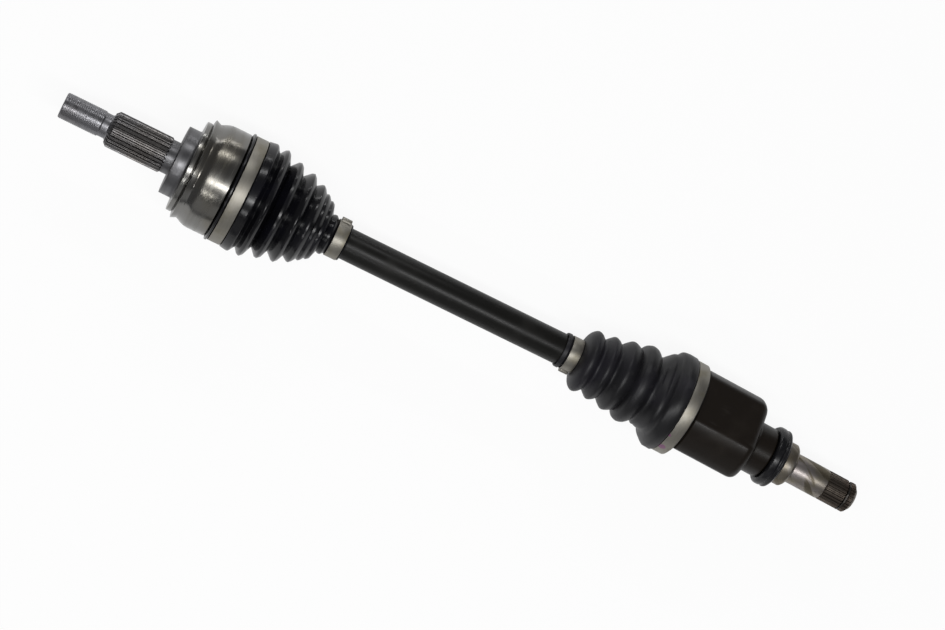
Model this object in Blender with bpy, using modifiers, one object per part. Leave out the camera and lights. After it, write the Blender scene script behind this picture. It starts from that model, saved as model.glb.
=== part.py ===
"""CV axle: a car's drive half-shaft with a ball joint at the wheel end and a tripod joint at the gearbox end.

X runs from the threaded wheel end to the gearbox end, Z is up, and the origin is half-way along the axle.
Named sizes are in millimetres, and Blender's units are metres.
The gearbox-end joint rests bent by REST_BEND about Z, as the axle lies on the table.
"""

import math

import bmesh
import bpy
from mathutils import Matrix, Vector

MM = 0.001
AXLE_LENGTH = 686.4
TURN_STEPS = 24
SMALL_TURN_STEPS = 16
BUCKLE_STEPS = 12
TRACK_STEPS = 7
RING_STEPS = 10
TURN_START = math.radians(3.0)
TURNING_GAP = 0.3
WELD = 0.00001

# Finishes: base colour, roughness, metallic.
GROUND_STEEL = ((0.62, 0.60, 0.56), 0.28, 1.0)
BEARING_STEEL = ((0.60, 0.61, 0.62), 0.18, 1.0)
HARDENED_STEEL = ((0.33, 0.32, 0.31), 0.40, 1.0)
STAINLESS_BAND = ((0.72, 0.70, 0.66), 0.34, 1.0)
SPRING_STEEL = ((0.22, 0.22, 0.23), 0.38, 1.0)
BLACK_PAINT = ((0.020, 0.020, 0.022), 0.38, 0.0)
BOOT_PLASTIC = ((0.012, 0.012, 0.013), 0.28, 0.0)
BOOT_RUBBER = ((0.022, 0.022, 0.022), 0.62, 0.0)

# Wheel end: stub axle and bell of the outer race.
THREAD_TIP_X = -AXLE_LENGTH / 2
THREAD_RADIUS = 10.2
RELIEF_RADIUS = 9.2
RELIEF_X = -310.4
WHEEL_SPLINE = (-304.6, -258.4)
WHEEL_SPLINE_TEETH = 27
WHEEL_SPLINE_ROOT = 12.9
WHEEL_SPLINE_TIP = 14.4
WHEEL_NECK_RADIUS = 13.2
BEARING_SHOULDER_X = -251.2
BEARING_SHOULDER_RADIUS = 27.4
FRONT_FLANGE = (-240.6, -236.9)
FRONT_FLANGE_RADIUS = 36.6
THROWER_X = -235.2
THROWER_RADIUS = 40.7
THROWER_DIP_X = -230.8
THROWER_DIP_RADIUS = 38.7
BELL_SHOULDER_X = -223.8
BELL_RADIUS = 42.2
BOOT_SEAT_X = -206.3
BOOT_SEAT_RADIUS = 39.6
BELL_MOUTH_X = -187.6
BELL_MOUTH_RADIUS = 33.2
BELL_FLOOR_X = -230.6
BELL_MOUTH_ANGLE = 22.0

# Ball joint: every part of it is concentric with this centre.
BALL_JOINT_X = -203.6
BALL_COUNT = 6
BALL_RADIUS = 7.5
BALL_PITCH_RADIUS = 28.5
TRACK_RADIUS = 9.2
TRACK_SIDES = 12
BELL_TRACK_SWEEP = (-36.0, 56.0)
RACE_TRACK_SWEEP = (-50.0, 50.0)
BELL_SPHERE = 31.9
CAGE_OUTER = 31.5
CAGE_INNER = 27.0
CAGE_HALF_WIDTH = 12.0
CAGE_WINDOW = (15.6, 18.0, 16.0)
RACE_RADIUS = 26.6
RACE_HALF_WIDTH = 11.0
RACE_BORE = 9.0

# Intermediate shaft.
SHAFT_RADIUS = 12.6
SHAFT_NECK_RADIUS = 10.5
BOOT_GROOVE_RADIUS = 11.2
SHAFT_SPLINE_TEETH = 20
SHAFT_SPLINE_ROOT = 11.0
SHAFT_SPLINE_TIP = 12.0
CIRCLIP_GROOVE_RADIUS = 9.7
CIRCLIP_RADII = (10.4, 12.9)
CIRCLIP_WIRE = 1.2
CIRCLIP_GAP = 40.0

# Gearbox end: tripod joint and housing, straight until the rest bend is applied.
TRIPOD_X = 188.4
REST_BEND = -2.1
TRUNNION_ANGLES = (0.0, 120.0, 240.0)
TRUNNION_RADIUS = 7.4
TRUNNION_REACH = 28.5
TRUNNION_STEP = 26.6
TRUNNION_GROOVE_RADIUS = 6.5
HUB_RADIUS = 15.0
HUB_HALF_WIDTH = 12.0
ROLLER_CENTRE = 21.0
ROLLER_RADIUS = 15.0
ROLLER_CROWN = 0.9
ROLLER_HALF_WIDTH = 5.5
ROLLER_BORE = 10.1
NEEDLE_COUNT = 14
NEEDLE_RADIUS = 1.0
NEEDLE_LENGTH = 8.6
NEEDLE_PITCH_RADIUS = 8.75
WASHER = (25.6, 26.3)
WASHER_RADII = (7.7, 9.7)
ROLLER_CLIP = (26.9, 27.7)
ROLLER_CLIP_RADII = (6.8, 8.9)
ROLLER_CLIP_GAP = 50.0
HOUSING_MOUTH_X = 170.4
HOUSING_STEP_X = 190.6
HOUSING_BACK_X = 246.0
HOUSING_LOBE = 36.7
HOUSING_FLAT = 30.6
SEAT_LOBE = 35.2
SEAT_FLAT = 29.8
HOUSING_CORNER = 8.0
TRACK_CENTRE = 21.0
TRACK_FLANK = 15.9
TRACK_FLOOR = 31.0
CENTRAL_BORE = 20.5
CAVITY_FLOOR_X = 239.2
HOUSING_NECK_RADIUS = 20.7
DUST_RING = (263.8, 275.5)
DUST_RING_RADIUS = 24.5
DUST_SEAT_RADIUS = 18.2
JOURNAL = (276.3, 285.6)
JOURNAL_RADIUS = 17.9
STUB_RADIUS = 12.4
STUB_TIP_X = AXLE_LENGTH / 2
GEARBOX_SPLINE = (317.4, 340.4)
GEARBOX_SPLINE_TEETH = 26
STUB_GROOVE = (334.6, 336.4)
STUB_GROOVE_RADIUS = 10.0
STUB_CLIP_RADII = (10.7, 12.5)
STUB_CLIP_GAP = 30.0

# Boots and their clamps: a buckle is (degrees from +Y towards +Z, radius, reach from the axis).
BOOT_WALL = 1.9
OUTER_BOOT_BEAD_X = -205.9
OUTER_BOOT_END_X = -107.4
OUTER_LARGE_BAND = (-202.8, -193.0)
OUTER_LARGE_BAND_RADIUS = 42.5
OUTER_LARGE_BUCKLE = (-52.0, 4.5, 46.4)
OUTER_SMALL_BAND = (-118.6, -108.9)
OUTER_SMALL_BAND_RADIUS = 14.4
OUTER_SMALL_BUCKLE = (12.0, 3.6, 18.6)
INNER_SMALL_BAND = (84.4, 93.2)
INNER_SMALL_BAND_RADIUS = 13.1
INNER_SMALL_BUCKLE = (184.0, 3.2, 16.8)
INNER_LARGE_BAND = (179.6, 188.9)
INNER_LARGE_BAND_RADIUS = 38.2
INNER_LARGE_BUCKLE = (-128.0, 4.2, 42.2)
INNER_BOOT_END_X = 190.1
BAND_THICKNESS = 1.0
BUCKLE_INSET = 0.8
BEND_SPAN = (76.0, 196.0)
BEND_STATIONS = 13


def clear_scene():
    """Remove every object that the file starts with."""
    for obj in list(bpy.data.objects):
        bpy.data.objects.remove(obj, do_unlink=True)


def new_collection(name):
    """A collection under the scene's own."""
    collection = bpy.data.collections.new(name)
    bpy.context.scene.collection.children.link(collection)
    return collection


def paint(obj, finish):
    """Give a piece its own Principled material."""
    colour, roughness, metallic = finish
    material = bpy.data.materials.new(obj.name)
    material.use_nodes = True
    material.diffuse_color = (*colour, 1.0)
    shader = material.node_tree.nodes["Principled BSDF"]
    shader.inputs["Base Color"].default_value = (*colour, 1.0)
    shader.inputs["Roughness"].default_value = roughness
    shader.inputs["Metallic"].default_value = metallic
    obj.data.materials.append(material)


def as_piece(obj, finish):
    """Keep an object as one piece of the axle."""
    PIECES.objects.link(obj)
    paint(obj, finish)
    return obj


def as_cutter(obj):
    """Keep an object as a tool for Boolean modifiers."""
    CUTTERS.objects.link(obj)
    obj.hide_render = True
    obj.display_type = "WIRE"
    return obj


def combine(obj, tool, operation):
    """Add a Boolean modifier that joins or cuts obj with tool."""
    modifier = obj.modifiers.new(f"{operation.lower()} {tool.name}", "BOOLEAN")
    modifier.operation = operation
    modifier.solver = "EXACT"
    modifier.object = tool


def cut(obj, tool):
    """Cut tool out of obj."""
    combine(obj, as_cutter(tool), "DIFFERENCE")


def fuse(obj, tool):
    """Join tool to obj as one solid."""
    combine(obj, as_cutter(tool), "UNION")


def turned(name, profile, steps=TURN_STEPS, ring=False):
    """A piece turned about X: profile is (x, radius), out along the surface from the -X end to the +X end.

    A ring's profile is closed: it comes back along the bore.
    """
    mesh = bpy.data.meshes.new(name)
    aside, up = math.sin(TURN_START), math.cos(TURN_START)
    points = [(x * MM, radius * aside * MM, radius * up * MM) for x, radius in profile]
    edges = [(i, i + 1) for i in range(len(points) - 1)]
    if ring:
        edges.append((len(points) - 1, 0))
    mesh.from_pydata(points, edges, [])
    obj = bpy.data.objects.new(name, mesh)
    screw = obj.modifiers.new("turn", "SCREW")
    screw.axis = "X"
    screw.steps = steps
    screw.render_steps = steps
    screw.use_merge_vertices = True
    screw.merge_threshold = WELD
    screw.use_smooth_shade = False
    screw.use_normal_flip = True
    return obj


def sphere_arc(radius, start, end, count):
    """Points (x, radius) on a sphere about the ball joint's centre, by degrees off its equator."""
    angles = [math.radians(start + (end - start) * i / (count - 1)) for i in range(count)]
    return [(BALL_JOINT_X + radius * math.sin(a), radius * math.cos(a)) for a in angles]


def mesh_object(name, body):
    """Turn a bmesh into an object with outward faces."""
    bmesh.ops.recalc_face_normals(body, faces=body.faces)
    mesh = bpy.data.meshes.new(name)
    body.to_mesh(mesh)
    body.free()
    return bpy.data.objects.new(name, mesh)


def prism(name, outline, stations):
    """An outline (y, z) carried along X through stations of (x, scale)."""
    body = bmesh.new()
    x, scale = stations[0]
    face = body.faces.new([body.verts.new((x * MM, y * scale * MM, z * scale * MM)) for y, z in outline])
    for (last_x, last_scale), (x, scale) in zip(stations, stations[1:]):
        inner_wall = face if len(body.faces) > 1 else None
        grown = bmesh.ops.extrude_face_region(body, geom=[face])["geom"]
        face = next(item for item in grown if isinstance(item, bmesh.types.BMFace))
        if inner_wall:
            bmesh.ops.delete(body, geom=[inner_wall], context="FACES_ONLY")
        bmesh.ops.translate(body, verts=face.verts[:], vec=((x - last_x) * MM, 0.0, 0.0))
        bmesh.ops.scale(body, verts=face.verts[:], vec=(1.0, scale / last_scale, scale / last_scale))
    return mesh_object(name, body)


def spline_outline(teeth, root, tip):
    """A spline's outline: four points to a tooth, two at the root and two at the tip."""
    points = []
    for i in range(4 * teeth):
        radius = tip if i % 4 in (1, 2) else root
        angle = 2 * math.pi * i / (4 * teeth)
        points.append((radius * math.cos(angle), radius * math.sin(angle)))
    return points


def splined_bar(name, span, teeth, root, tip, chamfer=0.0):
    """A bar of spline teeth, with its -X end chamfered if a chamfer is given."""
    start, end = span
    stations = [(start, 1.0), (end, 1.0)]
    if chamfer:
        stations = [(start, (tip - chamfer) / tip), (start + chamfer, 1.0), (end, 1.0)]
    return prism(name, spline_outline(teeth, root, tip), stations)


def trunnion_place(angle):
    """The placement that turns local X onto one trunnion of the spider."""
    turn = Matrix.Rotation(math.radians(angle), 4, "X") @ Matrix.Rotation(math.radians(90), 4, "Z")
    return Matrix.Translation((TRIPOD_X * MM, 0.0, 0.0)) @ turn


def snap_ring(name, span, radii, gap):
    """A flat ring of spring wire round X, (inner, outer) in radius, with a gap of so many degrees."""
    body = bmesh.new()
    inner, outer = radii
    corners = [(span[0], inner), (span[1], inner), (span[1], outer), (span[0], outer)]
    face = body.faces.new([body.verts.new((x * MM, r * MM, 0.0)) for x, r in corners])
    bmesh.ops.rotate(
        body, verts=body.verts[:], cent=(0, 0, 0), matrix=Matrix.Rotation(math.radians(gap / 2), 3, "X")
    )
    bmesh.ops.spin(
        body, geom=[face, *face.edges, *face.verts], cent=(0, 0, 0), axis=(1, 0, 0),
        angle=math.radians(360 - gap), steps=RING_STEPS,
    )
    return mesh_object(name, body)


def ball_direction(index):
    """The direction of one ball from the joint's centre, the first on the bend axis."""
    angle = 2 * math.pi * index / BALL_COUNT
    return Vector((0.0, math.sin(angle), math.cos(angle)))


def round_the_joint(index):
    """The placement that turns the +Z side of the ball joint to one ball."""
    turn = Matrix.Rotation(-2 * math.pi * index / BALL_COUNT, 4, "X")
    return Matrix.Translation((BALL_JOINT_X * MM, 0, 0)) @ turn


def ball_track(name, index, sweep):
    """A curved track tool that follows one ball through a sweep of degrees off the equator."""
    body = bmesh.new()
    first, last = sweep
    bmesh.ops.create_circle(body, cap_ends=True, segments=TRACK_SIDES, radius=TRACK_RADIUS * MM)
    face = body.faces[:][0]
    stand = Matrix.Translation((0, 0, BALL_PITCH_RADIUS * MM)) @ Matrix.Rotation(math.radians(90), 4, "Y")
    bmesh.ops.transform(body, matrix=stand, verts=body.verts[:])
    bmesh.ops.rotate(
        body, verts=body.verts[:], cent=(0, 0, 0), matrix=Matrix.Rotation(math.radians(first), 3, "Y")
    )
    bmesh.ops.spin(
        body, geom=[face, *face.edges, *face.verts], cent=(0, 0, 0), axis=(0, 1, 0),
        angle=math.radians(last - first), steps=TRACK_STEPS,
    )
    bmesh.ops.transform(body, matrix=round_the_joint(index), verts=body.verts[:])
    return mesh_object(name, body)


def outer_race():
    """Threaded and splined stub axle with the bell of the ball joint, one forging."""
    profile = [
        (THREAD_TIP_X, 0.0),
        (THREAD_TIP_X, THREAD_RADIUS - 1.4),
        (THREAD_TIP_X + 1.4, THREAD_RADIUS),
        (RELIEF_X - 1.2, THREAD_RADIUS),
        (RELIEF_X, RELIEF_RADIUS),
        (WHEEL_SPLINE[0] - 2.0, RELIEF_RADIUS),
        (WHEEL_SPLINE[0] + 1.0, 11.6),
        (WHEEL_SPLINE[1] - 2.0, 12.0),
        (WHEEL_SPLINE[1] + 0.6, WHEEL_NECK_RADIUS),
        (BEARING_SHOULDER_X, WHEEL_NECK_RADIUS),
        (BEARING_SHOULDER_X, BEARING_SHOULDER_RADIUS - 0.8),
        (BEARING_SHOULDER_X + 0.8, BEARING_SHOULDER_RADIUS),
        (FRONT_FLANGE[0] - 1.0, BEARING_SHOULDER_RADIUS),
        (FRONT_FLANGE[0], BEARING_SHOULDER_RADIUS + 1.0),
        (FRONT_FLANGE[0], FRONT_FLANGE_RADIUS - 0.6),
        (FRONT_FLANGE[0] + 0.6, FRONT_FLANGE_RADIUS),
        (FRONT_FLANGE[1], FRONT_FLANGE_RADIUS),
        (FRONT_FLANGE[1] + 0.5, FRONT_FLANGE_RADIUS - 1.0),
        (THROWER_X, THROWER_RADIUS),
        (THROWER_DIP_X, THROWER_DIP_RADIUS),
        (BELL_SHOULDER_X, BELL_RADIUS),
        (BOOT_SEAT_X - 0.6, BELL_RADIUS),
        (BOOT_SEAT_X, BOOT_SEAT_RADIUS),
        (BELL_MOUTH_X - 0.8, BOOT_SEAT_RADIUS),
        (BELL_MOUTH_X, BOOT_SEAT_RADIUS - 0.8),
        (BELL_MOUTH_X, BELL_MOUTH_RADIUS),
    ]
    floor_angle = -math.degrees(math.asin((BALL_JOINT_X - BELL_FLOOR_X) / BELL_SPHERE))
    profile += sphere_arc(BELL_SPHERE, BELL_MOUTH_ANGLE, floor_angle, 9)
    profile.append((BELL_FLOOR_X, 0.0))
    race = as_piece(turned("outer_race", profile), GROUND_STEEL)
    fuse(race, splined_bar(
        "wheel spline", WHEEL_SPLINE, WHEEL_SPLINE_TEETH, WHEEL_SPLINE_ROOT, WHEEL_SPLINE_TIP, 1.6
    ))
    for i in range(BALL_COUNT):
        cut(race, ball_track(f"bell track {i + 1}", i, BELL_TRACK_SWEEP))
    return race


def inner_race():
    """Inner race with six ball tracks and a splined bore."""
    edge = math.degrees(math.asin(RACE_HALF_WIDTH / RACE_RADIUS))
    profile = sphere_arc(RACE_RADIUS, -edge, edge, 5)
    profile += [(BALL_JOINT_X + RACE_HALF_WIDTH, RACE_BORE), (BALL_JOINT_X - RACE_HALF_WIDTH, RACE_BORE)]
    race = as_piece(turned("inner_race", profile, ring=True), HARDENED_STEEL)
    for i in range(BALL_COUNT):
        cut(race, ball_track(f"race track {i + 1}", i, RACE_TRACK_SWEEP))
    span = (BALL_JOINT_X - RACE_HALF_WIDTH - 1.0, BALL_JOINT_X + RACE_HALF_WIDTH + 1.0)
    cut(race, prism("race bore", spline_outline(
        SHAFT_SPLINE_TEETH, SHAFT_SPLINE_ROOT + TURNING_GAP, SHAFT_SPLINE_TIP + TURNING_GAP
    ), [(span[0], 1.0), (span[1], 1.0)]))


def ball_cage():
    """Cage with a window for each ball."""
    outer_edge = math.degrees(math.asin(CAGE_HALF_WIDTH / CAGE_OUTER))
    inner_edge = math.degrees(math.asin(CAGE_HALF_WIDTH / CAGE_INNER))
    profile = sphere_arc(CAGE_OUTER, -outer_edge, outer_edge, 5)
    profile += sphere_arc(CAGE_INNER, inner_edge, -inner_edge, 5)
    cage = as_piece(turned("ball_cage", profile, ring=True), HARDENED_STEEL)
    for i in range(BALL_COUNT):
        body = bmesh.new()
        along, across, deep = CAGE_WINDOW
        size = Matrix.Diagonal((along * MM, across * MM, deep * MM, 1.0))
        out = Matrix.Translation((0, 0, (CAGE_OUTER + CAGE_INNER) / 2 * MM))
        bmesh.ops.create_cube(body, size=1.0, matrix=round_the_joint(i) @ out @ size)
        cut(cage, mesh_object(f"cage window {i + 1}", body))
    return cage


def balls():
    """Six steel balls, one in each window."""
    made = []
    for i in range(BALL_COUNT):
        body = bmesh.new()
        bmesh.ops.create_uvsphere(body, u_segments=12, v_segments=7, radius=BALL_RADIUS * MM)
        ball = as_piece(mesh_object(f"ball_{i + 1}", body), BEARING_STEEL)
        ball.location = Vector((BALL_JOINT_X, 0, 0)) * MM + ball_direction(i) * (BALL_PITCH_RADIUS * MM)
        made.append(ball)
    return made


def intermediate_shaft():
    """Solid bar that joins the two joints, necked and grooved for the boots and splined at both ends."""
    race_front = BALL_JOINT_X + RACE_HALF_WIDTH
    race_back = BALL_JOINT_X - RACE_HALF_WIDTH
    hub_front = TRIPOD_X - HUB_HALF_WIDTH
    hub_back = TRIPOD_X + HUB_HALF_WIDTH
    core = SHAFT_SPLINE_ROOT - 0.5
    outer_groove = (race_back - 1.8, race_back - 0.1)
    inner_groove = (hub_back + 0.1, hub_back + 1.8)
    profile = [
        (race_back - 4.2, 0.0),
        (race_back - 4.2, core - 0.8),
        (race_back - 3.4, core),
        (outer_groove[0], core),
        (outer_groove[0], CIRCLIP_GROOVE_RADIUS),
        (outer_groove[1], CIRCLIP_GROOVE_RADIUS),
        (outer_groove[1] + 0.3, core),
        (race_front + 0.3, core),
        (race_front + 0.3, SHAFT_SPLINE_TIP + 1.4),
        (race_front + 2.6, SHAFT_SPLINE_TIP + 1.4),
        (race_front + 6.6, SHAFT_NECK_RADIUS),
        (OUTER_SMALL_BAND[0] - 4.0, SHAFT_NECK_RADIUS),
        (OUTER_SMALL_BAND[0] - 1.6, SHAFT_RADIUS - 0.4),
        (OUTER_SMALL_BAND[0] - 0.4, SHAFT_RADIUS - 0.4),
        (OUTER_SMALL_BAND[0] + 0.4, BOOT_GROOVE_RADIUS),
        (OUTER_SMALL_BAND[1] - 1.6, BOOT_GROOVE_RADIUS),
        (OUTER_SMALL_BAND[1] - 0.8, SHAFT_RADIUS),
        (INNER_SMALL_BAND[0] - 1.0, SHAFT_RADIUS),
        (INNER_SMALL_BAND[0] - 0.2, BOOT_GROOVE_RADIUS),
        (INNER_SMALL_BAND[1] + 0.4, BOOT_GROOVE_RADIUS),
        (INNER_SMALL_BAND[1] + 1.2, SHAFT_RADIUS - 0.4),
        (INNER_SMALL_BAND[1] + 2.4, SHAFT_RADIUS - 0.4),
        (INNER_SMALL_BAND[1] + 5.2, SHAFT_NECK_RADIUS),
        (hub_front - 6.0, SHAFT_NECK_RADIUS),
        (hub_front - 2.6, SHAFT_SPLINE_TIP + 1.2),
        (hub_front - 0.3, SHAFT_SPLINE_TIP + 1.2),
        (hub_front - 0.3, core),
        (inner_groove[0] - 0.3, core),
        (inner_groove[0], CIRCLIP_GROOVE_RADIUS),
        (inner_groove[1], CIRCLIP_GROOVE_RADIUS),
        (inner_groove[1], core),
        (hub_back + 3.4, core),
        (hub_back + 4.2, core - 0.8),
        (hub_back + 4.2, 0.0),
    ]
    shaft = as_piece(turned("intermediate_shaft", profile, steps=SMALL_TURN_STEPS), BLACK_PAINT)
    splines = {"race": (outer_groove[1], race_front + 1.1), "spider": (hub_front - 1.1, inner_groove[0])}
    for place, span in splines.items():
        fuse(shaft, splined_bar(
            f"shaft spline {place}", span, SHAFT_SPLINE_TEETH, SHAFT_SPLINE_ROOT, SHAFT_SPLINE_TIP
        ))
    clips = {
        "inner_race_circlip": (race_back - TURNING_GAP - CIRCLIP_WIRE, race_back - TURNING_GAP),
        "spider_circlip": (hub_back + TURNING_GAP, hub_back + TURNING_GAP + CIRCLIP_WIRE),
    }
    for name, span in clips.items():
        as_piece(snap_ring(name, span, CIRCLIP_RADII, CIRCLIP_GAP), SPRING_STEEL)


def boot_skin(outline, wall):
    """The bore side of a moulded boot: the outline's points moved in by the wall, last to first."""
    return [(x, radius - wall) for x, radius in reversed(outline)]


def outer_boot():
    """Thermoplastic boot whose convolutions rise straight to a round crest and fall steeply behind it."""
    convolutions = [
        (-181.7, 39.2), (-178.6, 43.3), (-176.4, 44.4), (-174.2, 42.4), (-170.6, 33.9),
        (-165.4, 39.7), (-163.4, 40.1), (-161.2, 38.0), (-158.5, 31.4),
        (-153.0, 36.5), (-151.0, 37.2), (-148.8, 35.0), (-146.2, 29.5),
        (-142.2, 32.2), (-140.6, 32.5), (-138.6, 30.7), (-136.4, 27.3),
        (-134.6, 28.0), (-133.2, 26.9), (-131.2, 24.2), (-129.6, 24.5), (-127.7, 23.0), (-125.1, 15.5),
    ]
    folds = [
        (-126.6, 13.4), (-129.6, 21.4), (-132.2, 21.9), (-134.8, 25.6), (-137.2, 25.0), (-141.4, 30.2),
        (-147.0, 27.2), (-151.8, 34.8), (-159.3, 28.9), (-164.2, 37.6), (-171.2, 31.6), (-176.6, 41.9),
        (-181.7, 36.9),
    ]
    large_end = [
        (OUTER_BOOT_BEAD_X, 42.3), (OUTER_BOOT_BEAD_X + 0.8, 44.2), (-203.8, 44.2), (-203.1, 42.2),
        (OUTER_LARGE_BAND[1] + 0.3, 42.2), (OUTER_LARGE_BAND[1] + 0.9, 43.9), (-186.5, 44.8), (-184.9, 44.0),
        (-183.2, 41.2),
    ]
    small_end = [
        (-123.2, 16.4), (-121.7, 16.4), (-120.4, 15.1), (-118.9, 14.1), (-108.6, 14.1), (-108.3, 14.9),
        (OUTER_BOOT_END_X, 14.5),
    ]
    seat = BOOT_SEAT_RADIUS + TURNING_GAP
    groove = BOOT_GROOVE_RADIUS + TURNING_GAP
    bore = [
        (OUTER_BOOT_END_X, SHAFT_RADIUS + TURNING_GAP), (-109.8, SHAFT_RADIUS + TURNING_GAP), (-110.5, groove),
        (-117.8, groove), (-118.6, SHAFT_RADIUS + TURNING_GAP), (-122.4, 13.4),
    ]
    bore += folds
    bore += [(BELL_MOUTH_X + 0.4, 38.4), (BELL_MOUTH_X + 0.3, seat), (OUTER_BOOT_BEAD_X, seat)]
    return as_piece(turned("outer_boot", large_end + convolutions + small_end + bore, ring=True), BOOT_PLASTIC)


def lobed_outline(lobe, flat, count=20):
    """The housing's outside, (y, z): a round of radius lobe with a flat between each two trunnions."""
    half_flat = math.degrees(math.acos(flat / lobe))
    points = []
    for trunnion in TRUNNION_ANGLES:
        start = trunnion - (60 - half_flat)
        end = trunnion + (60 - half_flat)
        steps = max(4, count // 3)
        for i in range(steps + 1):
            angle = math.radians(start + (end - start) * i / steps)
            points.append((lobe * math.cos(angle), lobe * math.sin(angle)))
        for share in (0.25, 0.5, 0.75):
            angle = math.radians(end + 2 * half_flat * share)
            reach = flat / math.cos(math.radians(60 + trunnion) - angle)
            points.append((reach * math.cos(angle), reach * math.sin(angle)))
    return points


def track_outline(count=60):
    """The housing's cavity, (y, z): a central bore opened out by the three roller tracks."""
    points = []
    for i in range(count):
        angle = 360.0 * i / count
        off = math.radians((angle + 60) % 120 - 60)
        across = TRACK_CENTRE * math.sin(off)
        reach = CENTRAL_BORE
        if abs(across) < TRACK_FLANK:
            flank = TRACK_CENTRE * math.cos(off) + math.sqrt(TRACK_FLANK**2 - across**2)
            reach = max(CENTRAL_BORE, min(TRACK_FLOOR, flank))
        points.append((reach * math.cos(math.radians(angle)), reach * math.sin(math.radians(angle))))
    return points


def tripod_housing():
    """Three-lobed housing with its roller tracks, journal and splined stub, one forging."""
    profile = [
        (HOUSING_BACK_X - 2.0, 0.0),
        (HOUSING_BACK_X - 2.0, HOUSING_NECK_RADIUS + 2.4),
        (HOUSING_BACK_X + 0.6, HOUSING_NECK_RADIUS + 0.8),
        (HOUSING_BACK_X + 3.0, HOUSING_NECK_RADIUS),
        (DUST_RING[0] - 1.2, HOUSING_NECK_RADIUS),
        (DUST_RING[0] - 0.3, HOUSING_NECK_RADIUS - 0.6),
        (DUST_RING[0] - 0.3, DUST_SEAT_RADIUS),
        (DUST_RING[1] + 0.4, DUST_SEAT_RADIUS),
        (DUST_RING[1] + 0.8, JOURNAL_RADIUS),
        (JOURNAL[1] - 1.8, JOURNAL_RADIUS),
        (JOURNAL[1], JOURNAL_RADIUS - 1.8),
        (JOURNAL[1], STUB_RADIUS + 0.8),
        (JOURNAL[1] + 0.8, STUB_RADIUS),
        (GEARBOX_SPLINE[0] - 1.2, STUB_RADIUS),
        (GEARBOX_SPLINE[0] + 0.4, STUB_RADIUS - 1.6),
        (STUB_GROOVE[0] - 0.3, STUB_RADIUS - 1.6),
        (STUB_GROOVE[0], STUB_GROOVE_RADIUS),
        (STUB_GROOVE[1], STUB_GROOVE_RADIUS),
        (STUB_GROOVE[1] + 0.3, STUB_RADIUS - 1.6),
        (STUB_TIP_X - 2.4, STUB_RADIUS - 1.6),
        (STUB_TIP_X, STUB_RADIUS - 3.2),
        (STUB_TIP_X, 0.0),
    ]
    housing = as_piece(turned("tripod_housing", profile), BLACK_PAINT)
    corner = [math.radians(90 * i / 5) for i in range(6)]
    back = [
        (HOUSING_BACK_X - HOUSING_CORNER * (1 - math.sin(a)), 1 - HOUSING_CORNER / HOUSING_LOBE * (1 - math.cos(a)))
        for a in corner
    ]
    body = [(HOUSING_STEP_X, 0.965), (HOUSING_STEP_X + 1.2, 1.0)] + back
    fuse(housing, prism("housing body", lobed_outline(HOUSING_LOBE, HOUSING_FLAT), body))
    seat = [(HOUSING_MOUTH_X, 0.97), (HOUSING_MOUTH_X + 1.0, 1.0), (HOUSING_STEP_X + 4.0, 1.0)]
    fuse(housing, prism("housing boot seat", lobed_outline(SEAT_LOBE, SEAT_FLAT), seat))
    splines = {
        "gearbox spline": (GEARBOX_SPLINE[0], STUB_GROOVE[0]),
        "gearbox spline end": (STUB_GROOVE[1], GEARBOX_SPLINE[1]),
    }
    for name, span in splines.items():
        fuse(housing, splined_bar(name, span, GEARBOX_SPLINE_TEETH, STUB_RADIUS - 1.1, STUB_RADIUS))
    cavity = [(HOUSING_MOUTH_X - 1.0, 1.05), (HOUSING_MOUTH_X + 1.6, 1.0), (CAVITY_FLOOR_X, 1.0)]
    cut(housing, prism("housing cavity", track_outline(), cavity))
    return housing


def spider():
    """Spider hub with three trunnions, a splined bore and a clip groove on each trunnion."""
    profile = [
        (TRIPOD_X - HUB_HALF_WIDTH, 9.0), (TRIPOD_X - HUB_HALF_WIDTH, HUB_RADIUS - 1.5),
        (TRIPOD_X - HUB_HALF_WIDTH + 1.5, HUB_RADIUS), (TRIPOD_X + HUB_HALF_WIDTH - 1.5, HUB_RADIUS),
        (TRIPOD_X + HUB_HALF_WIDTH, HUB_RADIUS - 1.5), (TRIPOD_X + HUB_HALF_WIDTH, 9.0),
    ]
    hub = as_piece(turned("spider", profile, ring=True), HARDENED_STEEL)
    root = HUB_RADIUS - 5.5
    arm = [
        (root, 0.0), (root, TRUNNION_RADIUS), (TRUNNION_STEP, TRUNNION_RADIUS),
        (TRUNNION_STEP, TRUNNION_GROOVE_RADIUS), (TRUNNION_REACH - 0.5, TRUNNION_GROOVE_RADIUS),
        (TRUNNION_REACH - 0.5, TRUNNION_RADIUS - 0.2), (TRUNNION_REACH, TRUNNION_RADIUS - 0.6),
        (TRUNNION_REACH, 0.0),
    ]
    for i, angle in enumerate(TRUNNION_ANGLES):
        trunnion = turned(f"trunnion {i + 1}", arm, steps=SMALL_TURN_STEPS)
        trunnion.matrix_world = trunnion_place(angle)
        fuse(hub, trunnion)
    span = [(TRIPOD_X - HUB_HALF_WIDTH - 1.0, 1.0), (TRIPOD_X + HUB_HALF_WIDTH + 1.0, 1.0)]
    cut(hub, prism("spider bore", spline_outline(
        SHAFT_SPLINE_TEETH, SHAFT_SPLINE_ROOT + TURNING_GAP, SHAFT_SPLINE_TIP + TURNING_GAP
    ), span))


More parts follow.
